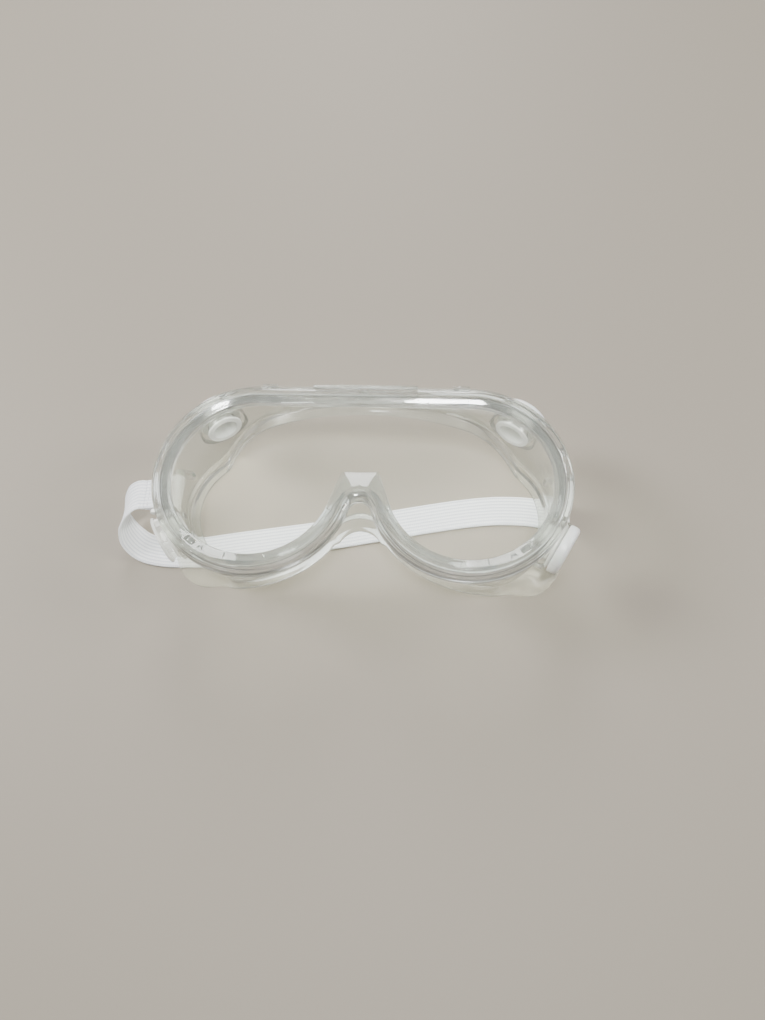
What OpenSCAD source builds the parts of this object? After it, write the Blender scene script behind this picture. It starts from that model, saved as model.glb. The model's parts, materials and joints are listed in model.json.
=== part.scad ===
// Indirect-vent safety goggles: clear soft frame, snap-in lens, vent caps and elastic headband.
// Z = 0 is the plane that the temple edges of the face seal rest on, +Z points out of the lens,
// +Y points to the forehead and the origin is the middle of the footprint.

/* [Overall] */
// Width of the front rim, side to side
rim_w = 173; // [144:1:208]
// Height of the front rim, forehead to cheek
rim_h = 84; // [70:1:100]
// Depth from the resting edge to the front of the rim
depth = 52; // [46:1:64]

/* [Nose] */
// Radius of the arch over the nose
nose_r = 4.6; // [3:0.1:8]
// Distance from the eye centres down to the top of the nose arch
nose_drop = 9; // [7:0.5:14]
// Width of the flat step above the nose, at the lens
nose_step_w = 15; // [10:0.5:20]
// Height of that step above the eye centres
nose_step_y = 2.4; // [0:0.2:5]
// How far the soft apron hangs below the nose arch
nose_apron = 8; // [4:0.5:12]
// Radius of the face seal's own arch over the nose
apron_r = 10.2; // [7:0.2:14]

/* [Rim and lens] */
// Width of the band that frames the lens
band_w = 8; // [6:0.5:10]
// Height of the rim along Z
rim_t = 8; // [6.5:0.5:9.6]
// Thickness of the rim's outer skirt
skirt_t = 2.8; // [2:0.1:3.4]
// Thickness of the front lip over the lens
lip_t = 2.6; // [1.8:0.1:3]
// Lens thickness
lens_t = 2; // [1.5:0.1:2.4]
// Length of a latch window in the rim
latch_l = 3.6; // [2.6:0.1:5]
// Width of a latch window in the rim
latch_w = 2; // [1.4:0.1:2.4]

/* [Soft frame] */
// Wall thickness of the soft frame
wall_t = 1.8; // [1.4:0.1:2.4]
// How far the rim stands out over the wall
overhang = 3; // [2.8:0.1:4]
// Thickness of the face seal
seal_t = 1.6; // [1.2:0.1:2.4]
// How far the face seal turns in from the rim's outline
seal_in = 8.5; // [6.5:0.5:11]
// Radius of the head form that the seal is curved to
head_r = 80; // [72:1:96]
// Distance from the rim's front to the seal at the forehead
brow_gap = 10; // [10:0.5:14]
// Forward lean of the lens against the face
face_tilt = 10; // [4:1:14]
// Radius of the soft lobe at each lower temple
lobe_r = 15.5; // [13:0.5:18]
// Angle of the lobes below the eye line
lobe_turn = 35; // [30:0.5:45]
// How far the seal's edge at the cheeks stands in from the rim
cheek_in = 3.5; // [0:0.5:4]
// Rise of the relief arch at each temple
relief_h = 5; // [4:0.5:7]
// Width of the relief arch at each temple
relief_w = 56; // [48:1:60]

/* [Vents] */
// Diameter of a vent cap
cap_d = 21.8; // [18:0.2:22.6]
// Height of a vent cap
cap_h = 4.6; // [4:0.1:5.5]
// Diameter of the hole through the soft wall
vent_d = 14; // [11:0.5:15]
// Distance of the vent centres behind the rim's front
vent_back = 20; // [19.6:0.2:21]
// Angle of the upper vents above the eye line
vent_up = 57.5; // [50:0.5:62]
// Angle of the lower vents below the eye line
vent_down = 30; // [28:0.5:34]
// Radius of the stem that holds a cap
stem_r = 2; // [1.5:0.1:2.5]

/* [Headband] */
// Width of the elastic headband
strap_w = 14; // [11:0.5:15]
// Thickness of the elastic headband
strap_t = 1.2; // [0.8:0.1:1.6]
// Height of the clip pins above the resting plane
pin_z = 19; // [17:0.5:21]
// Distance of the clips' middle above the eye centres
pin_y = 3; // [2:0.5:5]
// Radius of a clip pin
pin_r = 1.25; // [1:0.05:1.5]
// Distance from a clip's pin to its strap bar
clip_l = 8; // [7:0.5:9]

/* [Fits] */
// Running clearance of a clip on its pin
run_gap = 0.07; // [0.02:0.01:0.1]
// Sliding clearance between a cap and its seat
slide_gap = 0.1; // [0.05:0.01:0.15]
// Clearance between parts that only sit together
sit_gap = 0.05; // [0.02:0.01:0.2]

/* [Hidden] */
$fn = 96;
far = 400;
eye_r = rim_h / 2;
eye_x = rim_w / 2 - eye_r;

// Vent stack, measured outwards from the eye centre
wall_r = eye_r - overhang;
boss_top = wall_r + 2.8;
boss_d = 23;
seat_base_t = 1.2;
seat_gap = 2.4;
seat_disc_t = 1.2;
seat_disc_top = boss_top + seat_base_t + seat_gap + seat_disc_t;
cap_top = seat_disc_top + slide_gap + 1.4;
seat_r = cap_d / 2 - 0.45 - slide_gap;
vent_z = depth - vent_back;

// The footprint runs from the rim's lower edge to the upper caps, and Y = 0 halves it
top_reach = sin(vent_up) * cap_top + cos(vent_up) * cap_d / 2;
eye_y = -(top_reach - eye_r) / 2;

rim_back = depth - rim_t;
lens_z = depth - lip_t - lens_t - sit_gap;
ledge_t = 2.1;
ledge_z = lens_z - sit_gap - ledge_t;
window_r = eye_r - band_w;

// Headband clip
pin_x = eye_x + wall_r + 3.5;
clip_half = strap_w / 2 + 2.1;
ear_in = clip_half + 0.3;
ear_t = 2.2;
barrel_r = pin_r + 1.35;
bar_r = 1.1;
loop_r = bar_r + 0.15 + strap_t;
tail_l = 5;
strap_start = clip_l + tail_l;
clip_rest = [0, 78];

// Latches: angle on the eye circle and inset from the rim's edge; the last one is at the top centre
latch_inset = 2;
latch_low_inset = 5.7;
latch_a = [18.4, 65.6];
latch_low_a = -53.3;

// Route of the headband's middle: round numbers, from the left clip to the right clip
strap_path = [[-100.4, 0.8, 19], [-102, 0.8, 19], [-103.6, 0.8, 19], [-107.2, -1, 17.8], [-110.4, -4.4, 14.4],
    [-111.8, -8.8, 9.8], [-110.4, -13.2, 5.2], [-106.4, -17, 2], [-101, -19.3, 0.9], [-93, -20.5, 0.7],
    [-84, -20.5, 0.7], [-74, -19.5, 0.7], [-60, -17, 0.7], [-45, -14.5, 0.7], [-30, -12, 0.7],
    [-15, -9.5, 0.7], [0, -6.5, 0.7], [15, -3.5, 0.7], [30, -0.5, 0.7], [45, 2.2, 0.7], [58, 3.8, 0.7],
    [70, 4, 0.7], [79, 3.2, 0.7], [84.6, 2, 0.9], [88.6, 1.1, 2.1], [90.2, 0.8, 3.9], [90.05, 0.8, 4.7],
    [89.8, 0.8, 5.85]];

// --- Outlines -------------------------------------------------------------------------------

// Both sides of the goggles
module both() { children(); mirror([1, 0, 0]) children(); }

// Points on an arc about c, one every 5 degrees or so
function arc(c, r, a0, a1) = let (n = ceil(abs(a1 - a0) / 5))
    [for (i = [0:n]) let (a = a0 + (a1 - a0) * i / n) c + r * [cos(a), sin(a)]];
function mirrored(p) = [for (i = [len(p) - 1:-1:0]) [-p[i][0], p[i][1]]];

// Right half of the front outline, inset by off: the eye circle and then the arch over the nose,
// whose radius is nr and whose top is nd below the eye centres
function half_outline(off, nr, nd) = let (c = [0, -(nd + nr)], beta = atan2(nd + nr, eye_x),
    reach = (norm(c - [eye_x, 0]) - nr - off) / (eye_r - off))
    concat(arc([eye_x, 0], eye_r - off, 90, beta - 180 + acos(min(1, reach))),
        [for (q = arc(c, nr + off, beta, 90)) q]);
module outline(off = 0, nr = nose_r, nd = nose_drop) {
    half = half_outline(off, nr, nd);
    lower = [for (i = [0:len(half) - 2]) half[i]];
    translate([0, eye_y]) polygon(concat(lower, mirrored(half)));
}

// The lens window with its flat step over the nose, grown by g
module window(g = 0) {
    half = concat(arc([eye_x, 0], window_r + g, 90, -156), [[nose_step_w / 2 - g, nose_step_y - g]]);
    intersection() {
        translate([0, eye_y]) polygon(concat(half, mirrored(half)));
        outline(band_w - 1.5 - g);
    }
}

module lobes() both() translate([eye_x, eye_y]) rotate(-lobe_turn) translate([eye_r - 9, 0]) circle(r = lobe_r);

// Outline of the face seal: the rim's outline with a lower nose arch and narrower cheeks, and the
// temple lobes
module seal_outline() {
    intersection() {
        outline(0, apron_r, nose_drop + nose_apron);
        translate([0, cheek_in]) outline(0, apron_r, nose_drop + nose_apron + cheek_in);
    }
    lobes();
}

// --- Face form ------------------------------------------------------------------------------

// The head that the seal fits, grown by g: the face's curve and a low arch at each temple
module head(g = 0) {
    translate([0, eye_y + eye_r, depth - brow_gap]) rotate([face_tilt, 0, 0]) translate([0, 0, -head_r])
        rotate([90, 0, 0]) cylinder(r = head_r + g, h = far, center = true, $fn = 180);
    arch_r = (relief_w * relief_w / 4 + relief_h * relief_h) / (2 * relief_h);
    translate([0, eye_y - 4, relief_h - arch_r]) rotate([0, 90, 0])
        cylinder(r = arch_r + g, h = far, center = true, $fn = 180);
}

// --- Vents ----------------------------------------------------------------------------------

// A vent's own frame: Z runs outwards from the eye centre
module at_vent(side, a) translate([side * eye_x, eye_y, vent_z]) rotate([0, 0, side > 0 ? a : 180 - a])
    rotate([0, 90, 0]) children();
module at_vents() for (side = [-1, 1], a = [vent_up, -vent_down]) at_vent(side, a) children();

module vent_seat() {
    tube_r = vent_d / 2;
    base = boss_top + seat_base_t;
    lip_back = sqrt(pow(wall_r - wall_t, 2) - pow(tube_r + 1, 2)) - sit_gap;
    difference() {
        union() {
            translate([0, 0, lip_back - 1.2]) cylinder(r = tube_r, h = base - lip_back + 1.2);
            translate([0, 0, lip_back - 1.2]) cylinder(r = tube_r + 1, h = 1.2);
            translate([0, 0, boss_top]) cylinder(r = seat_r - 0.4, h = seat_base_t);
        }
        cylinder(r = tube_r - 1.4, h = base + 10);
    }
    for (i = [0:3]) rotate([0, 0, 45 + 90 * i]) translate([tube_r - 0.2, -1.3, base - 0.4])
        cube([seat_r - 0.9 - tube_r, 2.6, seat_gap + 0.8]);
    difference() {
        union() {
            translate([0, 0, seat_disc_top - seat_disc_t]) cylinder(r = seat_r, h = seat_disc_t);
            translate([0, 0, seat_disc_top - 2.6]) cylinder(r = stem_r + 1.6, h = 2.6);
        }
        translate([0, 0, seat_disc_top - 4]) cylinder(r = stem_r + slide_gap, h = 6);
    }
}

module vent_cap() {
    r = cap_d / 2;
    z1 = cap_top;
    z0 = cap_top - cap_h;
    zi = seat_disc_top + slide_gap;
    rotate_extrude() polygon([[0, seat_disc_top - 2.4], [stem_r, seat_disc_top - 2.4], [stem_r, zi],
        [seat_r + slide_gap, zi], [seat_r + slide_gap, z0], [r - 0.2, z0], [r, z0 + 0.4], [r, z1 - 1.1],
        [r - 0.3, z1 - 0.45], [r - 1.1, z1 - 0.05], [r - 2.6, z1], [r - 5, z1 - 0.25], [0, z1 - 0.25]]);
}

// --- Headband clips -------------------------------------------------------------------------

// A clip's own frame: X runs from the pin to the strap, Y along the pin
module at_pin(side) translate([side * pin_x, eye_y + pin_y, pin_z])
    rotate([0, 0, side > 0 ? 0 : 180]) children();
module at_clip(side) at_pin(side) rotate([0, clip_rest[side > 0 ? 1 : 0], 0]) children();
module rod(r, l) rotate([90, 0, 0]) cylinder(r = r, h = l, center = true);

module clip() difference() {
    union() {
        rod(barrel_r, 2 * clip_half);
        for (s = [-1, 1]) translate([0, s * (clip_half - 0.9) - 0.9, -1.1]) cube([clip_l, 1.8, 2.2]);
        for (s = [-1, 1]) translate([clip_l, s * (clip_half - 0.9), 0]) rod(1.9, 1.8);
        translate([clip_l, 0, 0]) rod(bar_r, 2 * clip_half);
    }
    rod(pin_r + run_gap, far);
}

// The sewn end of the headband, folded round the clip's bar
module strap_end() difference() {
    union() {
        translate([clip_l, 0, 0]) rod(loop_r, strap_w);
        translate([clip_l, -strap_w / 2, -strap_t]) cube([tail_l, strap_w, 2 * strap_t]);
    }
    translate([clip_l, 0, 0]) rod(bar_r + 0.15, far);
}

module stitches() for (s = [-1, 1], i = [-2:2])
    translate([strap_start - 1.8, i * 2.4 - 0.8, s * (strap_t + 0.15) - 0.15]) cube([0.5, 1.6, 0.3]);

module ears() difference() {
    for (s = [-1, 1]) translate([0, s * (ear_in + ear_t / 2), 0]) {
        rod(3.2, ear_t);
        translate([-8, -ear_t / 2, -3.2]) cube([8, ear_t, 6.4]);
    }
    rod(pin_r + sit_gap, far);
}

module clip_pin() {
    rod(pin_r, 2 * (ear_in + ear_t));
    for (s = [-1, 1]) translate([0, s * (ear_in + ear_t + 0.4), 0]) rod(pin_r + 0.7, 0.8);
}

// --- Headband -------------------------------------------------------------------------------

function unit(v) = v / norm(v);
function catmull(p, i, t) = let (n = len(p) - 1, a = p[max(i - 1, 0)], b = p[i], c = p[min(i + 1, n)],
    d = p[min(i + 2, n)]) 0.5 * (2 * b + (c - a) * t + (2 * a - 5 * b + 4 * c - d) * t * t
    + (3 * b - a - 3 * c + d) * t * t * t);
function smooth(p, k) = concat([for (i = [0:len(p) - 2], j = [0:k - 1]) catmull(p, i, j / k)],
    [p[len(p) - 1]]);

// A flat band of width w and thickness t along p, its width as near to Y as the route allows
module band(p, w, t) {
    n = len(p);
    ring = [for (i = [0:n - 1]) let (d = unit(p[min(i + 1, n - 1)] - p[max(i - 1, 0)]),
        y = unit([0, 1, 0] - d[1] * d), u = cross(d, y))
        [p[i] + y * w / 2 + u * t / 2, p[i] - y * w / 2 + u * t / 2,
         p[i] - y * w / 2 - u * t / 2, p[i] + y * w / 2 - u * t / 2]];
    polyhedron(points = [for (r = ring) each r], convexity = 6, faces = concat([[0, 1, 2, 3]],
        [for (i = [0:n - 2], k = [0:3]) let (a = 4 * i + k, b = 4 * i + (k + 1) % 4) [a, a + 4, b + 4]],
        [for (i = [0:n - 2], k = [0:3]) let (a = 4 * i + k, b = 4 * i + (k + 1) % 4) [a, b + 4, b]],
        [[4 * n - 1, 4 * n - 2, 4 * n - 3, 4 * n - 4]]));
}

// --- Parts ----------------------------------------------------------------------------------

module slab(z0, z1) translate([0, 0, z0]) linear_extrude(height = z1 - z0) children();

module soft_frame() color("lightcyan", 0.5) difference() {
    union() {
        // walls, vent bosses and the ledge that carries the lens
        difference() {
            union() {
                slab(0, lens_z - sit_gap) outline(overhang);
                at_vents() cylinder(d = boss_d, h = boss_top);
                for (side = [-1, 1]) at_pin(side) ears();
            }
            slab(-1, ledge_z) outline(overhang + wall_t);
            slab(-1, depth) window(1);
        }
        // face seal
        intersection() {
            difference() {
                slab(0, ledge_z) seal_outline();
                slab(-1, depth) outline(seal_in);
            }
            union() {
                head(seal_t);
                translate([-far / 2, -far / 2, 0]) cube([far, far, seal_t]);
            }
        }
    }
    head(0);
    at_vents() translate([0, 0, wall_r - 12]) cylinder(d = vent_d + 2 * sit_gap, h = 30);
}

// A latch window, long side across the radius
module latch_spots() {
    both() translate([eye_x, eye_y]) {
        for (a = latch_a) rotate(a) translate([eye_r - latch_inset, 0]) children();
        rotate(latch_low_a) translate([eye_r - latch_low_inset, 0]) children();
    }
    translate([0, eye_y + eye_r - latch_inset]) rotate(90) children();
}

module front_rim() color("white", 0.5) difference() {
    union() {
        slab(rim_back, depth) outline(0);
        // raised centre of the brow
        slab(rim_back + 1, depth - 1) translate([-22.5, eye_y + eye_r - 1]) square([45, 1.8]);
    }
    slab(rim_back - 1, depth - lip_t) outline(skirt_t);
    slab(rim_back - 1, depth + 1) window(0);
    slab(depth - lip_t + 0.2, depth + 1) latch_spots() square([latch_w, latch_l], center = true);
}

module rim_latches() color("whitesmoke", 0.6) slab(depth - lip_t + 0.2, depth - 0.6) latch_spots()
    square([latch_w - 2 * sit_gap, latch_l - 1], center = true);

module lens() color("aliceblue", 0.3) slab(lens_z, lens_z + lens_t) outline(skirt_t + sit_gap);

module seat(side, a) color("whitesmoke", 0.6) at_vent(side, a) vent_seat();
module cap(side, a) color("white") at_vent(side, a) vent_cap();

soft_frame();
front_rim();
lens();
rim_latches();
seat(-1, vent_up);  // vent_seat_upper_left
seat(1, vent_up);  // vent_seat_upper_right
seat(-1, -vent_down);  // vent_seat_lower_left
seat(1, -vent_down);  // vent_seat_lower_right
cap(-1, vent_up);  // vent_cap_upper_left
cap(1, vent_up);  // vent_cap_upper_right
cap(1, -vent_down);  // vent_cap_lower_right
color("silver") at_pin(-1) clip_pin();  // clip_pin_left
color("silver") at_pin(1) clip_pin();  // clip_pin_right
color("whitesmoke", 0.7) at_clip(-1) clip();  // strap_clip_left
color("whitesmoke", 0.7) at_clip(1) clip();  // strap_clip_right
color("white") at_clip(-1) strap_end();  // strap_end_left
color("white") at_clip(1) strap_end();  // strap_end_right
color("gainsboro") at_clip(-1) stitches();  // stitches_left
color("gainsboro") at_clip(1) stitches();  // stitches_right
color("white") band(smooth(strap_path, 3), strap_w, strap_t);  // headband
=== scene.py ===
import json
import math
from math import cos, radians, sin

import bmesh
import bpy
from mathutils import Matrix, Vector


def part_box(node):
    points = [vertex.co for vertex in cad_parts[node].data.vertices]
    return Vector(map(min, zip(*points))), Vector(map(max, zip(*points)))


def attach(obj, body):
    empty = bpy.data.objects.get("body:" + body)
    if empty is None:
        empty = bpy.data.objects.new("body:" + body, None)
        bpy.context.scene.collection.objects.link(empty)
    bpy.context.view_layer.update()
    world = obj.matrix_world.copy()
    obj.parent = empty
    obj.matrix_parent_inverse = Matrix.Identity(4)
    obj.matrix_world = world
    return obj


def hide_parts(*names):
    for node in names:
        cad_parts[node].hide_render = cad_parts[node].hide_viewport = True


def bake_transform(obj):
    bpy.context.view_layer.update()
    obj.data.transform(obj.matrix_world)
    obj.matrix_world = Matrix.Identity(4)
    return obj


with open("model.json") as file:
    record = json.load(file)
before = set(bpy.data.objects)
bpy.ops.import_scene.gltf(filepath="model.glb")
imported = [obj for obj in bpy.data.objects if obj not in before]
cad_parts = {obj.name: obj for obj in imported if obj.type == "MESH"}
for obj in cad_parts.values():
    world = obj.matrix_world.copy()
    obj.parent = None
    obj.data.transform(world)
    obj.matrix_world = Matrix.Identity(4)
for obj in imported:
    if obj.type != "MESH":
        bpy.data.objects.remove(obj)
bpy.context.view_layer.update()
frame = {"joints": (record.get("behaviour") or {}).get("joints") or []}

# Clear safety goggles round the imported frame. Shapes are in millimetres until finishPiece scales them;
# the camera, the lamps and the headband's route are in metres.
mm = 0.001
joints = {joint["name"]: joint for joint in frame["joints"]}


# Places that come from the frame

def boxOf(node):
    low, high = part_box(node)
    return low / mm, high / mm


rimLow, rimHigh = boxOf("front_rim")
lensLow, lensHigh = boxOf("lens")
seatLow, seatHigh = boxOf("vent_seat_upper_left")
lensInset = lensLow.x - rimLow.x
eyeRadius = (lensHigh.y - lensLow.y) / 2 + lensInset
eyeX = (rimHigh.x - rimLow.x) / 2 - eyeRadius
eyeY = (lensHigh.y + lensLow.y) / 2
frontZ = rimHigh.z
rimBackZ = rimLow.z
ventZ = (seatLow.z + seatHigh.z) / 2
sides = {"left": -1, "right": 1}


def ventPlace(level, side):
    # a vent's Z runs out of the wall; the bare lower left one mirrors the lower right one
    axis = Vector(joints[f"cap_{level}_right_pull"]["axis"])
    axis.x *= sides[side]
    turn = axis.to_track_quat("Z", "Y").to_matrix().to_4x4()
    return Matrix.Translation((sides[side] * eyeX, eyeY, ventZ)) @ turn


def clipPlace(side, turned=True):
    # a clip's X runs from the pin to the strap and its Y along the pin
    pin = Vector(joints[f"clip_{side}_turn"]["pos_m"]) / mm
    facing = Matrix.Rotation(radians(180 if side == "left" else 0), 4, "Z")
    hang = Matrix.Rotation(radians(78 if turned and side == "right" else 0), 4, "Y")
    return Matrix.Translation(pin) @ facing @ hang


# Camera and stage

view = {"place": (0.02916, -0.12914, 0.33463), "forward": (-0.06294, 0.36799, -0.92770),
    "up": (-0.02323, 0.92875, 0.36999), "lens": 27.04}
back = -Vector(view["forward"]).normalized()
right = Vector(view["up"]).cross(back).normalized()
camera = bpy.data.objects.new("camera", bpy.data.cameras.new("camera"))
camera.data.lens = view["lens"]
camera.data.clip_start = 0.01
facing = Matrix((right, back.cross(right), back)).transposed().to_4x4()
camera.matrix_world = Matrix.Translation(view["place"]) @ facing
bpy.context.scene.collection.objects.link(camera)
bpy.context.scene.camera = camera


def toLinear(hexColour):
    parts = [int(hexColour[i:i + 2], 16) / 255 for i in (1, 3, 5)]
    return [p / 12.92 if p <= 0.04045 else ((p + 0.055) / 1.055) ** 2.4 for p in parts] + [1]


lamps = {
    "key": {"place": (-1.05, 0.3, 0.85), "size": 0.4, "watts": 22},
    "overhead": {"place": (0.05, -0.22, 1.15), "size": 0.14, "watts": 11},
    "behind": {"place": (-0.1, 1.2, 0.8), "size": 0.5, "watts": 13},
    "fill": {"place": (0.95, 0.15, 0.6), "size": 0.3, "watts": 8},
}
for name, lamp in lamps.items():
    light = bpy.data.objects.new(name, bpy.data.lights.new(name, "AREA"))
    light.data.size = lamp["size"]
    light.data.energy = lamp["watts"]
    light.location = lamp["place"]
    light.rotation_euler = (-Vector(lamp["place"])).to_track_quat("-Z", "Y").to_euler()
    bpy.context.scene.collection.objects.link(light)
world = bpy.data.worlds.new("studio")
world.use_nodes = True
bpy.context.scene.world = world


def addNode(tree, kind, settings=None, links=None, **choices):
    node = tree.nodes.new("ShaderNode" + kind)
    for name, value in choices.items():
        setattr(node, name, value)
    for name, value in (settings or {}).items():
        node.inputs[name].default_value = value
    for name, source in (links or {}).items():
        tree.links.new(source, node.inputs[name])
    return node


# pale at the horizon and darker overhead, so clear edges stand out
sky = {"strength": 0.75, "tones": ((0.03, "#D2CDC3"), (0.35, "#15171A"))}
tree = world.node_tree
height = addNode(tree, "SeparateXYZ", {}, {"Vector": addNode(tree, "TexCoord").outputs["Generated"]})
fade = addNode(tree, "ValToRGB", {}, {"Fac": height.outputs["Z"]})
for element, (position, colour) in zip(fade.color_ramp.elements, sky["tones"]):
    element.position = position
    element.color = toLinear(colour)
tree.links.new(fade.outputs["Color"], tree.nodes["Background"].inputs["Color"])
tree.nodes["Background"].inputs["Strength"].default_value = sky["strength"]
print("camera and lights made")


# Materials

def startMaterial(name):
    material = bpy.data.materials.new(name)
    material.use_nodes = True
    material.node_tree.nodes.clear()
    return material, material.node_tree


def clearPlastic(name, look):
    # lets lamps through, so what lies behind a clear wall isn't in a hard shadow
    material, tree = startMaterial(name)
    place = addNode(tree, "TexCoord").outputs["Object"]
    ripple = addNode(tree, "TexNoise", {"Scale": 1000 / look["rippleMm"], "Detail": 2.0}, {"Vector": place})
    bump = addNode(tree, "Bump", {"Strength": look["rippleStrength"], "Distance": 0.0003},
        {"Height": ripple.outputs["Fac"]})
    cloud = addNode(tree, "TexNoise", {"Scale": 1000 / look["cloudMm"], "Detail": 4.0}, {"Vector": place})
    rough = addNode(tree, "MapRange", {"From Min": 0.35, "From Max": 0.7, "To Min": look["roughness"],
        "To Max": look["roughness"] + look["haze"]}, {"Value": cloud.outputs["Fac"]})
    plastic = addNode(tree, "BsdfPrincipled", {"Base Color": toLinear(look["colour"]), "IOR": look["ior"],
        "Transmission Weight": look["clear"]},
        {"Roughness": rough.outputs["Result"], "Normal": bump.outputs["Normal"]})
    through = addNode(tree, "BsdfTransparent", {"Color": toLinear(look["shade"])})
    ray = addNode(tree, "LightPath")
    mixed = addNode(tree, "MixShader", {}, {0: ray.outputs["Is Shadow Ray"], 1: plastic.outputs["BSDF"],
        2: through.outputs["BSDF"]})
    addNode(tree, "OutputMaterial", {}, {"Surface": mixed.outputs["Shader"]})
    return material


def moulded(name, look):
    # polypropylene from a polished mould: soft gloss, slightly see-through edges, faint flow marks
    material, tree = startMaterial(name)
    place = addNode(tree, "TexCoord").outputs["Object"]
    flow = addNode(tree, "TexNoise", {"Scale": 1000 / look["flowMm"], "Detail": 3.0}, {"Vector": place})
    tone = addNode(tree, "ValToRGB", {}, {"Fac": flow.outputs["Fac"]})
    tone.color_ramp.elements[0].position = 0.35
    tone.color_ramp.elements[0].color = toLinear(look["worn"])
    tone.color_ramp.elements[1].position = 0.6
    tone.color_ramp.elements[1].color = toLinear(look["colour"])
    rough = addNode(tree, "MapRange", {"To Min": look["roughness"], "To Max": look["roughness"] + 0.12},
        {"Value": flow.outputs["Fac"]})
    grain = addNode(tree, "TexNoise", {"Scale": 1000 / look["grainMm"]}, {"Vector": place})
    bump = addNode(tree, "Bump", {"Strength": 0.06, "Distance": 0.0002}, {"Height": grain.outputs["Fac"]})
    plastic = addNode(tree, "BsdfPrincipled", {"IOR": 1.49, "Subsurface Weight": look["soft"],
        "Subsurface Scale": 0.002}, {"Base Color": tone.outputs["Color"],
        "Roughness": rough.outputs["Result"], "Normal": bump.outputs["Normal"]})
    addNode(tree, "OutputMaterial", {}, {"Surface": plastic.outputs["BSDF"]})
    return material


def knitted(name, look):
    # knitted elastic: soft white yarn, U runs along the band and V across it, both in millimetres
    material, tree = startMaterial(name)
    uv = addNode(tree, "TexCoord").outputs["UV"]
    stitch = addNode(tree, "Mapping", {"Scale": (1 / look["stitchMm"], 1 / look["ribMm"], 1)}, {"Vector": uv})
    knit = addNode(tree, "TexWave", {"Scale": 0.318, "Distortion": 1.2, "Detail": 1.0, "Detail Scale": 2.0},
        {"Vector": stitch.outputs["Vector"]}, bands_direction="X")
    ribs = addNode(tree, "TexWave", {"Scale": 0.318, "Distortion": 0.2}, {"Vector": stitch.outputs["Vector"]},
        bands_direction="Y")
    # painted shade: the grooves between the ribs are coloured darker than the white yarn, where shade would
    # fall
    tone = addNode(tree, "ValToRGB", {}, {"Fac": ribs.outputs["Fac"]})
    tone.color_ramp.elements[0].color = toLinear(look["paintedGrooveShade"])
    tone.color_ramp.elements[1].position = 0.55
    tone.color_ramp.elements[1].color = toLinear(look["colour"])
    yarn = addNode(tree, "Bump", {"Strength": 0.5, "Distance": 0.0002}, {"Height": knit.outputs["Fac"]})
    rough = addNode(tree, "MapRange", {"To Min": 0.7, "To Max": 0.9}, {"Value": knit.outputs["Fac"]})
    cloth = addNode(tree, "BsdfPrincipled", {"Sheen Weight": 0.35, "Sheen Roughness": 0.5},
        {"Base Color": tone.outputs["Color"], "Roughness": rough.outputs["Result"],
        "Normal": yarn.outputs["Normal"]})
    addNode(tree, "OutputMaterial", {}, {"Surface": cloth.outputs["BSDF"]})
    return material


# Plasticised PVC, injection moulded: clear with a grey cast, soft ripples and a little bloom
softPvc = clearPlastic("clearSoftPvcMoulded", {"colour": "#E9EAE5", "shade": "#E3E3DE", "ior": 1.45,
    "clear": 0.93, "roughness": 0.05, "haze": 0.16, "rippleMm": 6, "rippleStrength": 0.35, "cloudMm": 12})
# Rigid clear PVC, injection moulded: glassy bevels with faint draw marks
rimPlastic = clearPlastic("clearRigidPvcMoulded", {"colour": "#E8EAE9", "shade": "#E6E7E5", "ior": 1.49,
    "clear": 0.97, "roughness": 0.03, "haze": 0.1, "rippleMm": 9, "rippleStrength": 0.12, "cloudMm": 20})
# Polished polycarbonate sheet: almost unseen, with faint wipe marks
lensPlastic = clearPlastic("polishedPolycarbonate", {"colour": "#FAFBFA", "shade": "#F4F6F4", "ior": 1.3,
    "clear": 1.0, "roughness": 0.0, "haze": 0.05, "rippleMm": 60, "rippleStrength": 0.02, "cloudMm": 30})
# Milky polypropylene, moulded: lets half of the light through
seatPlastic = clearPlastic("milkyPolypropyleneMoulded", {"colour": "#F6F6F4", "shade": "#D9DAD6", "ior": 1.49,
    "clear": 0.5, "roughness": 0.12, "haze": 0.15, "rippleMm": 5, "rippleStrength": 0.15, "cloudMm": 8})
# White polypropylene, moulded: smooth and slightly waxy
capPlastic = moulded("whitePolypropyleneMoulded", {"colour": "#F4F4F2", "worn": "#E9E9E6", "roughness": 0.22,
    "flowMm": 9, "grainMm": 0.5, "soft": 0.12})
# Natural nylon rod for the pins, cut and headed: cloudy white
pinPlastic = moulded("naturalNylonHeaded", {"colour": "#E6E7E2", "worn": "#D6D7D2", "roughness": 0.3,
    "flowMm": 3, "grainMm": 0.4, "soft": 0.2})
# Milky nylon for the clips, moulded: whiter than the vent seats
clipPlastic = clearPlastic("milkyNylonMoulded", {"colour": "#F4F4F0", "shade": "#CFD0CC", "ior": 1.5,
    "clear": 0.15, "roughness": 0.18, "haze": 0.12, "rippleMm": 5, "rippleStrength": 0.1, "cloudMm": 8})
# Rib-knitted polyester elastic: matt white, with painted shade in the grooves between the ribs
elastic = knitted("ribKnittedElastic", {"colour": "#F7F8FA", "paintedGrooveShade": "#D6D8E0", "stitchMm": 0.9,
    "ribMm": 1.55})
# Spun polyester thread: matt, a little greyer than the band
thread = moulded("spunPolyesterThread", {"colour": "#DEDFE2", "worn": "#C8C9CE", "roughness": 0.75,
    "flowMm": 0.6, "grainMm": 0.2, "soft": 0.0})
print("materials made")


# Shaping tools

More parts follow.
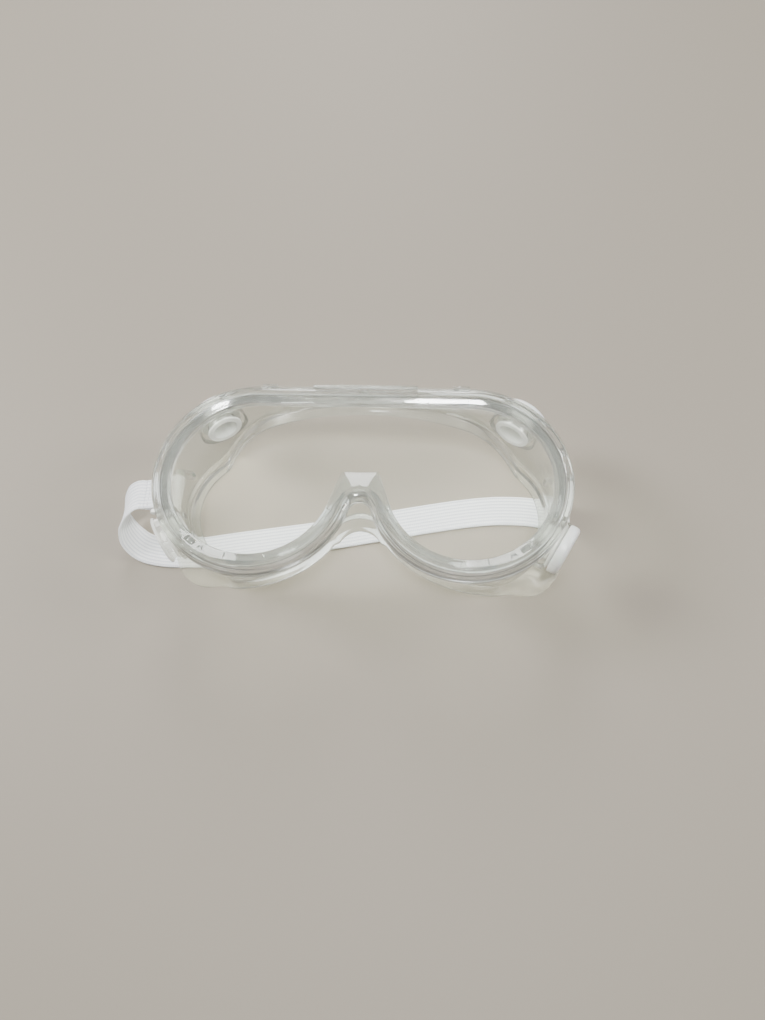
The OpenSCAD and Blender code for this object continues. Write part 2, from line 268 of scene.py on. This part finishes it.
def finishPiece(bm, name, material, body, nodes=(), sharp=35):
    bmesh.ops.remove_doubles(bm, verts=bm.verts, dist=0.0005)
    bmesh.ops.recalc_face_normals(bm, faces=bm.faces)
    bmesh.ops.scale(bm, vec=(mm, mm, mm), verts=bm.verts)
    for face in bm.faces:
        face.smooth = True
    for edge in bm.edges:
        edge.smooth = len(edge.link_faces) == 2 and edge.calc_face_angle(0) < radians(sharp)
    mesh = bpy.data.meshes.new(name)
    bm.to_mesh(mesh)
    bm.free()
    mesh.materials.append(material)
    piece = bpy.data.objects.new(name, mesh)
    bpy.context.scene.collection.objects.link(piece)
    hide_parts(*nodes)
    if body:
        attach(piece, body)
    return piece


def addLoop(bm, points):
    verts = [bm.verts.new(p) for p in points]
    return verts, [bm.edges.new(pair) for pair in zip(verts, verts[1:] + verts[:1])]


def loft(bm, rings, closed=False):
    # pulls one closed loop through the rings; closed joins the last ring to the first
    verts, edges = addLoop(bm, rings[0])
    first = edges
    for ring in rings[1:]:
        order = {tuple(round(c, 5) for c in v.co): i for i, v in enumerate(verts)}
        pulled = bmesh.ops.extrude_edge_only(bm, edges=edges)["geom"]
        verts = sorted((g for g in pulled if isinstance(g, bmesh.types.BMVert)),
            key=lambda v: order[tuple(round(c, 5) for c in v.co)])
        edges = [bm.edges.get((a, b)) for a, b in zip(verts, verts[1:] + verts[:1])]
        for vert, place in zip(verts, ring):
            vert.co = place
    if closed:
        bmesh.ops.bridge_loops(bm, edges=first + edges)
    else:
        for end in (first, edges):
            bmesh.ops.contextual_create(bm, geom=end)
    bmesh.ops.recalc_face_normals(bm, faces=bm.faces)


def addSpun(bm, profile, place, steps=48):
    # a round shape turned about its own Z from (radius, height) points
    before = set(bm.verts)
    verts = [bm.verts.new((r, 0, z)) for r, z in profile]
    edges = [bm.edges.new(pair) for pair in zip(verts, verts[1:])]
    if profile[0][0] > 0:
        edges.append(bm.edges.new((verts[-1], verts[0])))
    bmesh.ops.spin(bm, geom=verts + edges, cent=(0, 0, 0), axis=(0, 0, 1), angle=2 * math.pi, steps=steps,
        use_merge=True)
    made = [v for v in bm.verts if v not in before]
    bmesh.ops.remove_doubles(bm, verts=made, dist=0.001)
    made = [v for v in bm.verts if v not in before]
    bmesh.ops.transform(bm, matrix=place, verts=made)


def addBlock(bm, low, high, place, rounding=0.3, steps=2):
    low, high = Vector(low), Vector(high)
    size = Matrix.Diagonal((*(high - low), 1))
    where = place @ Matrix.Translation((low + high) / 2) @ size
    made = bmesh.ops.create_cube(bm, size=1, matrix=where)["verts"]
    edges = {edge for vert in made for edge in vert.link_edges}
    bmesh.ops.bevel(bm, geom=list(edges), offset=rounding, segments=steps, profile=0.5, affect="EDGES",
        material=-1)


def addRod(bm, radius, low, high, place, rounding=0.3, bore=0):
    # a rod along its own Y
    turn = Matrix.Rotation(radians(-90), 4, "X")
    r, e = radius, rounding
    outside = [(r - e, low), (r - 0.3 * e, low + 0.3 * e), (r, low + e), (r, high - e),
        (r - 0.3 * e, high - 0.3 * e), (r - e, high)]
    inside = [(bore, high), (bore, low)]
    addSpun(bm, inside[1:] + outside + inside[:1], place @ turn, 32)


def cutAndJoin(piece, others, operation):
    # boolean with each other object, then the result becomes the piece's own mesh
    for other in others:
        step = piece.modifiers.new("cut", "BOOLEAN")
        step.object = other
        step.operation = operation
        step.solver = "EXACT"
    bpy.context.view_layer.update()
    mesh = bpy.data.meshes.new_from_object(piece.evaluated_get(bpy.context.evaluated_depsgraph_get()))
    piece.modifiers.clear()
    piece.data = mesh
    for other in others:
        bpy.data.objects.remove(other)
    return piece


def looseObject(bm, name):
    bmesh.ops.recalc_face_normals(bm, faces=bm.faces)
    mesh = bpy.data.meshes.new(name)
    bm.to_mesh(mesh)
    bm.free()
    piece = bpy.data.objects.new(name, mesh)
    bpy.context.scene.collection.objects.link(piece)
    return piece


def takeMesh(piece):
    bm = bmesh.new()
    bm.from_mesh(piece.data)
    bpy.data.objects.remove(piece)
    return bm


# Outlines that the rim, lens and soft frame share

outline = {"browSteps": 16, "eyeSteps": 72, "noseSteps": 12, "noseRadius": 4.6, "noseDrop": 9,
    "sealNoseRadius": 10.2, "sealNoseDrop": 17, "bandWidth": 8, "stepHalf": 7.5, "stepHeight": 2.4,
    "windowTurn": -156, "lobeTurn": -35, "lobeReach": 33, "lobeRadius": 15.5, "cheekIn": 4.5}


def bothSides(half):
    points = half + [(-x, y) for x, y in reversed(half[1:-1])]
    return [Vector((x, y + eyeY, 0)) for x, y in points]


def lobeAt(turn):
    # how far the lower temple lobe reaches from the eye centre at this angle, in degrees
    away = radians(turn - outline["lobeTurn"])
    side = outline["lobeReach"] * sin(away)
    if abs(side) > outline["lobeRadius"] or cos(away) < 0:
        return 0
    return outline["lobeReach"] * cos(away) + math.sqrt(outline["lobeRadius"] ** 2 - side ** 2)


def outerRing(inset, low=0, lobe=0):
    # the goggles' outline, inset; low runs from 0 at the rim's nose arch to 1 at the seal's
    noseRadius = outline["noseRadius"] + low * (outline["sealNoseRadius"] - outline["noseRadius"])
    noseDrop = outline["noseDrop"] + low * (outline["sealNoseDrop"] - outline["noseDrop"])
    archY = -(noseDrop + noseRadius)
    span = math.hypot(eyeX, archY)
    tilt = math.degrees(math.atan2(-archY, eyeX))
    reach = min(1, (span - noseRadius - inset) / (eyeRadius - inset))
    lastTurn = tilt - 180 + math.degrees(math.acos(reach))
    half = [(eyeX * i / outline["browSteps"], eyeRadius - inset) for i in range(outline["browSteps"])]
    for i in range(outline["eyeSteps"] + 1):
        turn = 90 + (lastTurn - 90) * i / outline["eyeSteps"]
        cheek = max(0, -sin(radians(turn))) ** 2
        radius = eyeRadius - inset - low * outline["cheekIn"] * cheek
        bulge = lobeAt(turn) - inset - radius
        if lobe and bulge > -4:
            radius += lobe * (bulge + math.sqrt(bulge * bulge + 4)) / 2
        half.append((eyeX + radius * cos(radians(turn)), radius * sin(radians(turn))))
    for i in range(outline["noseSteps"] + 1):
        turn = tilt + (90 - tilt) * i / outline["noseSteps"]
        arch = noseRadius + inset
        half.append((arch * cos(radians(turn)), archY + arch * sin(radians(turn))))
    return bothSides(half)


def windowRing(grow=0):
    # the lens window with its flat step over the nose
    radius = eyeRadius - outline["bandWidth"] + grow
    half = [(eyeX * i / outline["browSteps"], radius) for i in range(outline["browSteps"])]
    for i in range(outline["eyeSteps"] + 1):
        turn = radians(90 + (outline["windowTurn"] - 90) * i / outline["eyeSteps"])
        half.append((eyeX + radius * cos(turn), radius * sin(turn)))
    last, corner = Vector(half[-1]), Vector((outline["stepHalf"] - grow, outline["stepHeight"] - grow))
    flats = 5
    slopes = outline["noseSteps"] + 1 - flats
    half += [tuple(last.lerp(corner, i / slopes)) for i in range(1, slopes + 1)]
    half += [(corner.x * (1 - i / flats), corner.y) for i in range(1, flats + 1)]
    return bothSides(half)


def bandRing(inset, z):
    # between the rim's outer edge and its window
    share = inset / outline["bandWidth"]
    pairs = zip(outerRing(inset), windowRing(outline["bandWidth"] - inset))
    return [a.lerp(b, share * share * (3 - 2 * share)) + Vector((0, 0, z)) for a, b in pairs]


# Front rim: stepped outer strip, a crest and a long bevel down to the lens

rim = {"lip": 2.6, "latchTurns": (18.4, 65.6), "latchInset": 2, "lowLatchTurn": -53.3,
    "lowLatchInset": 5.7, "latchLong": 3.6, "latchWide": 2, "browHalf": 22.5, "browRise": 0.8,
    "browDeep": 1.6, "tabX": 41, "tabHalf": 3.5, "ridgeTurns": (-156, -104, -78), "ridgeHalf": 0.25,
    "sprueTurn": -62, "sprueInset": 5.3}
rimProfile = [(0.25, rimBackZ), (0, rimBackZ + 0.4), (0, frontZ - 2.2), (0.2, frontZ - 1.6),
    (0.9, frontZ - 1.1), (2.1, frontZ - 0.95), (2.35, frontZ - 0.3), (2.7, frontZ), (3.3, frontZ),
    (3.7, frontZ - 0.35),
    (7.1, frontZ - 1.2), (7.7, frontZ - 1.5), (8, frontZ - 2), (8, frontZ - 2.5), (7.9, frontZ - 2.6),
    (2.9, frontZ - 2.6), (2.8, frontZ - 2.7), (2.8, rimBackZ + 0.3), (2.6, rimBackZ)]


def atEye(side, turn, inset):
    place = Matrix.Translation((side * eyeX, eyeY, 0))
    place @= Matrix.Rotation(radians(turn if side > 0 else 180 - turn), 4, "Z")
    return place @ Matrix.Translation((eyeRadius - inset, 0, 0))


latchPlaces = [atEye(side, turn, rim["latchInset"]) for side in (-1, 1) for turn in rim["latchTurns"]]
latchPlaces += [atEye(side, rim["lowLatchTurn"], rim["lowLatchInset"]) for side in (-1, 1)]
browTop = eyeY + eyeRadius
browLatch = Matrix.Translation((0, browTop - rim["latchInset"], 0))
latchPlaces.append(browLatch @ Matrix.Rotation(radians(90), 4, "Z"))


def makeRim():
    bm = bmesh.new()
    loft(bm, [bandRing(inset, z) for inset, z in rimProfile], closed=True)
    body = looseObject(bm, "rimBody")
    raised = bmesh.new()
    half = rim["browHalf"]
    addBlock(raised, (-half, browTop - rim["browDeep"], rimBackZ + 1),
        (half, browTop + rim["browRise"], frontZ - 1), Matrix(), 0.5, 3)
    cutAndJoin(body, [looseObject(raised, "raisedBrow")], "UNION")
    for place in latchPlaces:
        cutter = bmesh.new()
        half = Vector((rim["latchWide"], rim["latchLong"])) / 2
        addBlock(cutter, (-half.x, -half.y, frontZ - rim["lip"] + 0.25),
            (half.x, half.y, frontZ + 2), place, 0.15, 1)
        cutAndJoin(body, [looseObject(cutter, "latchCutter")], "DIFFERENCE")
    bm = takeMesh(body)
    for side in (-1, 1):
        # a rounded tab on the brow, thin joint ridges across the lower band and a sprue dot
        tab = side * rim["tabX"]
        addBlock(bm, (tab - rim["tabHalf"], browTop - 2.2, frontZ - 1.6),
            (tab + rim["tabHalf"], browTop + 0.5, frontZ - 0.4), Matrix(), 0.5, 3)
        for turn in rim["ridgeTurns"]:
            addBlock(bm, (-7.2, -rim["ridgeHalf"], frontZ - 1.35), (-3.9, rim["ridgeHalf"], frontZ - 0.55),
                atEye(side, turn, 0), 0.2, 2)
        addSpun(bm, [(0, -1.6), (1.3, -1.6), (1.3, -0.75), (1.0, -0.5), (0.8, -0.75), (0, -0.85)],
            atEye(side, rim["sprueTurn"], rim["sprueInset"]) @ Matrix.Translation((0, 0, frontZ)), 24)
    return finishPiece(bm, "frontRim", rimPlastic, "frame", ["front_rim"], 28)


def makeLatches():
    bm = bmesh.new()
    z = frontZ - rim["lip"] + 0.25
    for place in latchPlaces:
        addBlock(bm, (-0.85, -1.25, z), (0.85, 1.25, z + 0.9), place, 0.25, 2)
        addBlock(bm, (-0.85, -0.75, z + 0.5), (0.1, 0.75, z + 1.5), place, 0.25, 2)
    return finishPiece(bm, "rimLatches", rimPlastic, "frame", ["rim_latches"])


def makeLens():
    bm = bmesh.new()
    low, high, edge = lensLow.z, lensHigh.z, 0.25
    loft(bm, [[p + Vector((0, 0, z)) for p in outerRing(lensInset + inset)]
        for inset, z in ((edge, low), (0, low + edge), (0, high - edge), (edge, high))])
    return finishPiece(bm, "lens", lensPlastic, "frame", ["lens"], 20)


makeRim()
makeLatches()
makeLens()
print("rim, latches and lens made")


# Soft frame: wall, ledge for the lens, and a face seal that follows the head

soft = {"overhang": 3, "wall": 1.8, "seal": 1.6, "sealIn": 8.5, "headRadius": 80, "browGap": 10, "tilt": 10,
    "reliefRise": 5, "reliefWide": 56, "ledge": 2.1, "bossRadius": 11.5, "bossFoot": 36.2,
    "bossTop": 41.7, "holeRadius": 7.05, "holeFrom": 30, "holeTo": 60, "earMiddle": 10.5, "earHalf": 1.1,
    "earRadius": 3.2, "earLong": 7}


def sealHeight(x, y):
    # the face seal rests on the head, a low arch at each temple, and the flat of a table
    lean = radians(soft["tilt"])
    sag = soft["headRadius"] - math.sqrt(max(0, soft["headRadius"] ** 2 - x * x))
    if abs(x) > soft["headRadius"]:
        sag = 200
    head = frontZ - soft["browGap"] + math.tan(lean) * (y - eyeY - eyeRadius) - sag / cos(lean)
    rise, wide = soft["reliefRise"], soft["reliefWide"]
    archRadius = (wide * wide / 4 + rise * rise) / (2 * rise)
    arch = rise - archRadius + math.sqrt(max(0, archRadius ** 2 - (y - eyeY + 4) ** 2))
    best = 0.0
    for height in (head, arch):
        gap = height - best
        best = best + (gap + math.sqrt(gap * gap + 1.5)) / 2 - 0.1
    return max(best, 0)


def wallRing(inset, share, lobe=0, lift=0.0, top=None):
    # share runs from 0 under the rim to 1 at the seal
    low = share * share * (3 - 2 * share)
    front = lensLow.z if top is None else top
    ring = []
    for p in outerRing(inset, low, lobe):
        seat = sealHeight(p.x, p.y) + lift
        ring.append(Vector((p.x, p.y, front + (seat - front) * share)))
    return ring


def makeSoftFrame():
    over, wall, seal = soft["overhang"], soft["wall"], soft["seal"]
    inner = over + wall
    top = lensLow.z - 0.05
    ledge = top - soft["ledge"]
    rings = [wallRing(over, 0, top=top), wallRing(over, 0.06, top=top)]
    for share in (0.2, 0.35, 0.5, 0.65, 0.8):
        rings.append(wallRing(over + 0.5 * sin(math.pi * share), share, top=top))
    rings += [wallRing(over, 0.92, lift=seal, top=top), wallRing(over - 0.7, 0.97, 0.5, lift=seal, top=top),
        wallRing(over - 1.6, 1, 0.9, lift=seal, top=top), wallRing(0.7, 1, 1, lift=seal),
        wallRing(0.15, 1, 1, lift=seal * 0.8), wallRing(0, 1, 1, lift=seal * 0.5),
        wallRing(0.15, 1, 1, lift=seal * 0.2), wallRing(0.7, 1, 1),
        wallRing(3, 1, 1), wallRing(soft["sealIn"] - 2, 1), wallRing(soft["sealIn"] - 0.5, 1),
        wallRing(soft["sealIn"], 1, lift=seal * 0.4), wallRing(soft["sealIn"] - 0.1, 1, lift=seal * 0.75),
        wallRing(soft["sealIn"] - 0.6, 1, lift=seal), wallRing(inner + 1.2, 1, lift=seal + 0.1),
        wallRing(inner + 0.3, 0.95, lift=seal, top=ledge), wallRing(inner, 0.88, lift=seal, top=ledge)]
    for share in (0.7, 0.5, 0.3, 0.12):
        rings.append(wallRing(inner + 0.5 * sin(math.pi * share), share, top=ledge))
    rings.append(wallRing(inner, 0, top=ledge))
    rings.append([p + Vector((0, 0, ledge)) for p in windowRing(1)])
    rings.append([p + Vector((0, 0, top)) for p in windowRing(1)])
    bm = bmesh.new()
    loft(bm, rings, closed=True)
    body = looseObject(bm, "softBody")
    for level in ("upper", "lower"):
        for side in sides:
            boss = bmesh.new()
            r, foot, high = soft["bossRadius"], soft["bossFoot"], soft["bossTop"]
            addSpun(boss, [(0, foot), (r - 0.3, foot), (r, foot + 0.4), (r, high - 0.8),
                (r - 0.25, high - 0.25), (r - 0.8, high), (0, high)], ventPlace(level, side), 64)
            cutAndJoin(body, [looseObject(boss, "boss")], "UNION")
    for side in sides:
        ears = bmesh.new()
        place = clipPlace(side, turned=False)
        half, radius = soft["earHalf"], soft["earRadius"]
        for end in (-1, 1):
            middle = end * soft["earMiddle"]
            addBlock(ears, (-soft["earLong"], middle - half, -radius), (0, middle + half, radius),
                place, 0.5, 3)
            addRod(ears, radius, middle - half, middle + half, place, 0.4)
        cutAndJoin(body, [looseObject(ears, "ears")], "UNION")
    for level in ("upper", "lower"):
        for side in sides:
            hole = bmesh.new()
            r, low, high = soft["holeRadius"], soft["holeFrom"], soft["holeTo"]
            addSpun(hole, [(0, low), (r, low), (r, high), (0, high)], ventPlace(level, side), 64)
            cutAndJoin(body, [looseObject(hole, "hole")], "DIFFERENCE")
    return finishPiece(takeMesh(body), "softFrame", softPvc, "frame", ["soft_frame"], 40)


makeSoftFrame()
print("soft frame made")


# Vents: a milky seat in every boss, and a white cap on all but the lower left one

seat = {"tube": 7, "bore": 5.6, "flange": 8, "inside": 35.2, "base": 41.8, "baseThick": 1.2, "gap": 2.4,
    "disc": 10.35, "discThick": 1.2, "hub": 3.6, "socket": 2.1, "socketDeep": 2.6, "post": 2.6}
cap = {"radius": 10.9, "deep": 4.6, "top": 48.1, "lid": 1.4, "stem": 2, "stemLong": 2.4}


def addSeat(bm, place):
    s = seat
    base = s["base"] + s["baseThick"]
    addSpun(bm, [(s["bore"], s["inside"] + 0.2), (s["bore"] + 0.2, s["inside"]),
        (s["flange"] - 0.3, s["inside"]), (s["flange"], s["inside"] + 0.3),
        (s["flange"], s["inside"] + 0.9), (s["flange"] - 0.3, s["inside"] + 1.2),
        (s["tube"], s["inside"] + 1.2), (s["tube"], s["base"]), (s["disc"] - 0.7, s["base"]),
        (s["disc"] - 0.4, s["base"] + 0.3), (s["disc"] - 0.4, base - 0.3), (s["disc"] - 0.7, base),
        (s["bore"] + 0.2, base), (s["bore"], base - 0.2)], place, 64)
    low = base + s["gap"]
    high = low + s["discThick"]
    bottom = high - s["socketDeep"]
    addSpun(bm, [(s["socket"], bottom), (s["hub"] - 0.2, bottom), (s["hub"], bottom + 0.2), (s["hub"], low),
        (s["disc"] - 0.3, low), (s["disc"], low + 0.3), (s["disc"], high - 0.3), (s["disc"] - 0.3, high),
        (s["disc"] - 1.4, high), (s["disc"] - 1.7, high - 0.25), (s["hub"] + 1.2, high - 0.25),
        (s["hub"] + 0.8, high), (s["socket"] + 0.3, high), (s["socket"], high - 0.3)], place, 64)
    for i in range(4):
        turn = place @ Matrix.Rotation(radians(45 + 90 * i), 4, "Z")
        addBlock(bm, (s["tube"] - 0.2, -s["post"] / 2, base - 0.3),
            (s["disc"] - 0.9, s["post"] / 2, low + 0.3), turn, 0.3, 2)


def addCap(bm, place):
    r, top, low = cap["radius"], cap["top"], cap["top"] - cap["deep"]
    inside = seat["disc"] + 0.1
    under = top - cap["lid"]
    stem, end = cap["stem"], under - cap["stemLong"]
    addSpun(bm, [(0, end), (stem - 0.4, end), (stem, end + 0.4), (stem, under), (inside, under),
        (inside, low + 0.2),
        (inside + 0.1, low), (r - 0.45, low), (r - 0.1, low + 0.35), (r, low + 1.2), (r, top - 1.7),
        (r - 0.15, top - 1.1), (r - 0.55, top - 0.55), (r - 1.2, top - 0.18), (r - 2.1, top),
        (r - 2.9, top - 0.08), (r - 3.5, top - 0.3),
        (r - 4.4, top - 0.36), (r - 6.5, top - 0.3), (0, top - 0.22)], place, 72)


for level in ("upper", "lower"):
    for side in sides:
        bm = bmesh.new()
        addSeat(bm, ventPlace(level, side))
        where = f"{level}_{side}"
        label = level + side.capitalize()
        finishPiece(bm, f"ventSeat.{label}", seatPlastic, "frame",
            [f"vent_seat_{where}"])
        if where != "lower_left":
            bm = bmesh.new()
            addCap(bm, ventPlace(level, side))
            finishPiece(bm, f"ventCap.{label}", capPlastic, f"cap_{where}",
                [f"vent_cap_{where}"], 30)
print("vents made")


# Strap clips and their pins

clip = {"half": 9.1, "pin": 1.25, "pinHead": 0.7, "barrel": 2.6, "bore": 1.32, "long": 8, "bar": 1.1,
    "arm": 1.8, "armEnd": 1.9, "gap": 0.3, "ear": 2.2}


def makeClip(side):
    place = clipPlace(side)
    bm = bmesh.new()
    addRod(bm, clip["barrel"], -clip["half"], clip["half"], place, 0.35, clip["bore"])
    half, bar = clip["arm"] / 2, clip["bar"]
    barPlace = place @ Matrix.Translation((clip["long"], 0, 0))
    for end in (-1, 1):
        middle = end * (clip["half"] - half)
        addBlock(bm, (clip["armEnd"], middle - half, -bar), (clip["long"] + 0.4, middle + half, bar),
            place, 0.35, 3)
        addRod(bm, clip["armEnd"], middle - half, middle + half, barPlace, 0.35)
    addRod(bm, bar, 0.3 - clip["half"], clip["half"] - 0.3, barPlace, 0.2)
    finishPiece(bm, f"strapClip.{side}", clipPlastic, f"clip_{side}", [f"strap_clip_{side}"])
    bm = bmesh.new()
    reach = clip["half"] + clip["gap"] + clip["ear"]
    r, head = clip["pin"], clip["pin"] + clip["pinHead"]
    addSpun(bm, [(0, -reach - 0.8), (head - 0.5, -reach - 0.75), (head, -reach - 0.3), (head, -reach),
        (r, -reach), (r, reach), (head, reach), (head, reach + 0.3), (head - 0.5, reach + 0.75),
        (0, reach + 0.8)],
        clipPlace(side, turned=False) @ Matrix.Rotation(radians(-90), 4, "X"), 32)
    finishPiece(bm, f"clipPin.{side}", pinPlastic, "frame", [f"clip_pin_{side}"])


for side in sides:
    makeClip(side)
print("clips made")


# Headband: ribbed elastic band, one half for each clip, and its sewn ends

band = {"width": 14, "thick": 1.2, "ribs": 9, "ribSteps": 6, "ribDeep": 0.13, "step": 1.1, "meet": 0,
    "loopSteps": 40, "fold": 1.86, "tip": 13, "legRise": 0.6, "stitchX": 11.45, "stitchGap": 2.4,
    "stitchHalf": 0.8, "stitchRadius": 0.24, "stitchRise": 1.25}
# where the band runs from the left clip, round its loop and along the floor to the right clip
route = [(-0.1004, 0.0008, 0.019), (-0.102, 0.0008, 0.019), (-0.1036, 0.0008, 0.019),
    (-0.1072, -0.001, 0.0178), (-0.1104, -0.0044, 0.0144), (-0.1118, -0.0088, 0.0098),
    (-0.1104, -0.0132, 0.0052), (-0.1064, -0.017, 0.002), (-0.101, -0.0193, 0.0009),
    (-0.093, -0.0205, 0.0007), (-0.084, -0.0205, 0.0007), (-0.074, -0.0195, 0.0007),
    (-0.06, -0.017, 0.0007), (-0.045, -0.0145, 0.0007), (-0.03, -0.012, 0.0007),
    (-0.015, -0.0095, 0.0007), (0, -0.0065, 0.0007), (0.015, -0.0035, 0.0007),
    (0.03, -0.0005, 0.0007), (0.045, 0.0022, 0.0007), (0.058, 0.0038, 0.0007),
    (0.07, 0.004, 0.0007), (0.079, 0.0032, 0.0007), (0.0846, 0.002, 0.0009),
    (0.0886, 0.0011, 0.0021), (0.0902, 0.0008, 0.0039), (0.09005, 0.0008, 0.0047),
    (0.0898, 0.0008, 0.00585)]


def smoothRoute(points, parts=8):
    # a Catmull-Rom curve through the points
    ends = [points[0]] + points + [points[-1]]
    made = []
    for a, b, c, d in zip(ends, ends[1:], ends[2:], ends[3:]):
        for i in range(parts):
            t = i / parts
            made.append(0.5 * (2 * b + (c - a) * t + (2 * a - 5 * b + 4 * c - d) * t * t
                + (3 * b - a - 3 * c + d) * t ** 3))
    return made + [points[-1]]


def evenly(points, step):
    # the same line with points a step apart
    made, left = [points[0]], step
    for a, b in zip(points, points[1:]):
        long, gone = (b - a).length, 0
        while long - gone >= left:
            gone += left
            made.append(a.lerp(b, gone / long))
            left = step
        left -= long - gone
    if (made[-1] - points[-1]).length < step * 0.4:
        made.pop()
    return made + [points[-1]]


def lengthOf(line):
    return sum((b - a).length for a, b in zip(line, line[1:]))


def bandSection():
    # (across, up) round the band's section, with ribs on both faces
    half, thick = band["width"] / 2, band["thick"] / 2
    steps = band["ribs"] * band["ribSteps"]
    face = []
    for i in range(steps + 1):
        across = -half + band["width"] * i / steps
        edge = min(1, (half - abs(across)) / 0.5)
        rib = band["ribDeep"] * (1 - cos(2 * math.pi * i / band["ribSteps"])) / 2
        face.append((across, (thick - band["ribDeep"] + rib) * (0.45 + 0.55 * math.sqrt(max(0, edge)))))
    return face + [(across, -up) for across, up in reversed(face)]


def addBand(bm, line, across, start=0.0):
    # pulls the ribbed section along the line; U is the distance along it and V the place across it
    section = bandSection()
    rings, along = [], [start]
    for i, point in enumerate(line):
        ahead = (line[min(i + 1, len(line) - 1)] - line[max(i - 1, 0)]).normalized()
        side = (across - across.dot(ahead) * ahead).normalized()
        up = ahead.cross(side)
        rings.append([point + side * v + up * h for v, h in section])
        if i:
            along.append(along[-1] + (point - line[i - 1]).length)
    loft(bm, rings)
    uv = bm.loops.layers.uv.verify()
    places = {}
    for ring, distance in zip(rings, along):
        for place, (v, h) in zip(ring, section):
            places[tuple(round(c, 4) for c in place)] = (distance, v)
    for face in bm.faces:
        for corner in face.loops:
            corner[uv].uv = places.get(tuple(round(c, 4) for c in corner.vert.co), (0, 0))


line = evenly(smoothRoute([Vector(p) / mm for p in route]), band["step"])
split = min(range(band["loopSteps"] + 1, len(line)), key=lambda i: abs(line[i].x - band["meet"]))
halves = {"left": line[:split + 1], "right": line[split:]}
for side in sides:
    bm = bmesh.new()
    start = 0 if side == "left" else lengthOf(halves["left"])
    addBand(bm, halves[side], Vector((0, 1, 0)), start)
    nodes = ["headband"] if side == "left" else []  # the left half stands for the whole band
    piece = finishPiece(bm, f"headband.{side}", elastic, None, nodes, 60)
    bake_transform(piece)


def makeStrapEnd(side):
    # the band folds round the clip's bar and is sewn to itself
    place = clipPlace(side)
    fold, bar, tip, rise = band["fold"], clip["long"], band["tip"], band["legRise"]
    turns = [radians(turn) for turn in range(62, 299, 12)]
    loop = [Vector((bar + fold * cos(turn), 0, fold * sin(turn))) for turn in turns]
    leg = [Vector((tip, 0, rise)), Vector((tip - 1.2, 0, rise)), Vector((bar + 2.4, 0, 0.85))]
    points = leg + loop + [Vector((p.x, 0, -p.z)) for p in reversed(leg)]
    bm = bmesh.new()
    addBand(bm, [place @ p for p in evenly(points, 0.5)], place.to_3x3() @ Vector((0, 1, 0)), 3)
    finishPiece(bm, f"strapEnd.{side}", elastic, f"clip_{side}", [f"strap_end_{side}"], 60)
    bm = bmesh.new()
    half = band["stitchHalf"]
    for face in (-1, 1):
        for i in range(-2, 3):
            middle = Matrix.Translation((band["stitchX"], i * band["stitchGap"], face * band["stitchRise"]))
            addRod(bm, band["stitchRadius"], -half, half, place @ middle, 0.2)
    finishPiece(bm, f"stitches.{side}", thread, f"clip_{side}", [f"stitches_{side}"])


for side in sides:
    makeStrapEnd(side)
print("headband made, millimetres long:", round(lengthOf(line), 1))


# Plain pale floor

ground = {"size": 1.5, "drop": 0.0003, "colour": "#948C7F", "roughness": 0.6}
bm = bmesh.new()
bmesh.ops.create_grid(bm, x_segments=1, y_segments=1, size=ground["size"])
floorMesh = bpy.data.meshes.new("floor")
bm.to_mesh(floorMesh)
bm.free()
floor = bpy.data.objects.new("floor", floorMesh)
floor.location.z = -ground["drop"]
bpy.context.scene.collection.objects.link(floor)
floorMaterial, floorTree = startMaterial("paleFloorPaint")
paint = addNode(floorTree, "BsdfPrincipled", {"Base Color": toLinear(ground["colour"]),
    "Roughness": ground["roughness"]})
addNode(floorTree, "OutputMaterial", {}, {"Surface": paint.outputs["BSDF"]})
floorMesh.materials.append(floorMaterial)
